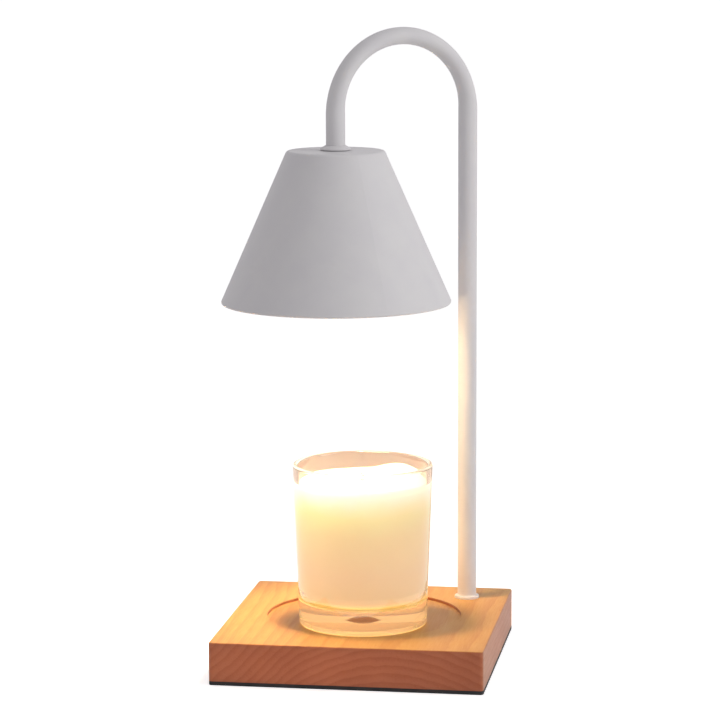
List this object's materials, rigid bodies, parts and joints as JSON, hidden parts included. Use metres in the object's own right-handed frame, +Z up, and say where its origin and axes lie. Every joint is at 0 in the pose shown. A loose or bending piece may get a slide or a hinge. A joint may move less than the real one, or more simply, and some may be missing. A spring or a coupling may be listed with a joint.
{
  "type": "candle warmer lamp",
  "caption": "Table lamp that warms a candle: wooden base with a round recess, bent tube arm that swivels, conical shade with a reflector bulb, glass tumbler candle.",
  "frame": {"origin": "centre of the base's underside, where the pad meets the table", "axes": "+X to the right along the base's front edge, +Y to the back, +Z up"},
  "size_m": [0.1446, 0.1412, 0.3278],
  "materials": {
    "beech": "oiled beech, fine grain",
    "black_foam": "matte foam rubber",
    "white_powder_coat": "matte white powder coat on steel",
    "zinc_steel": "bright zinc",
    "brass": "plain",
    "nylon": "moulded",
    "rubber": "moulded",
    "lead_insulation": "silicone insulation",
    "sleeving": "braided glass fibre",
    "ceramic": "unglazed steatite",
    "nickel": "nickel plated",
    "reflector": "pressed glass with an aluminium coat inside",
    "lamp_glass": "clear",
    "tungsten": "coiled wire",
    "tumbler_glass": "clear, polished",
    "wax": "soft, translucent wax",
    "wick": "braided cotton"
  },
  "bodies": {
    "base": {"wood_base": "beech", "base_pad": "black_foam", "swivel_bush": "nylon", "limit_plate": "zinc_steel", "limit_plate_screws": "zinc_steel", "terminal_block": "nylon", "terminal_tubes": "brass", "terminal_screws": "zinc_steel", "terminal_fixing_screw": "zinc_steel", "base_leads": "lead_insulation", "cord_grommet": "rubber", "cord_clamp": "nylon", "cord_clamp_screws": "zinc_steel"},
    "arm": {"arm_tube": "white_powder_coat", "post_collar": "white_powder_coat", "foot_nipple": "zinc_steel", "stop_washer": "zinc_steel", "foot_spring_washer": "zinc_steel", "foot_nut": "zinc_steel", "lead_sleeve": "sleeving", "arm_leads": "lead_insulation", "shade_collar": "white_powder_coat", "shade": "white_powder_coat", "head_nipple": "zinc_steel", "holder_bracket": "zinc_steel", "head_lock_washer": "zinc_steel", "head_nut": "zinc_steel", "lampholder": "ceramic", "holder_screws": "zinc_steel", "holder_contacts": "brass", "holder_leads": "lead_insulation"},
    "bulb": {"bulb_base": "ceramic", "bulb_pins": "nickel", "bulb_reflector": "reflector", "bulb_lens": "lamp_glass", "bulb_capsule": "lamp_glass", "bulb_filament": "tungsten"},
    "candle": {"candle_glass": "tumbler_glass", "candle_wax": "wax", "candle_wick": "wick", "wick_tab": "zinc_steel"}
  },
  "joints": [
    {"name": "arm_swivel", "type": "hinge", "parent": "base", "child": "arm", "pos_m": [0.048, 0.0465, 0.022], "axis": [0, 0, 1], "range_deg": [-30, 30]},
    {"name": "bulb_twist", "type": "hinge", "parent": "arm", "child": "bulb", "pos_m": [-0.01507, 0.00233, 0.24], "axis": [0, 0, -1], "range_deg": [0, 20]},
    {"name": "candle_lift", "type": "slide", "parent": "base", "child": "candle", "axis": [0, 0, 1], "range_m": [0, 0.06]}
  ]
}
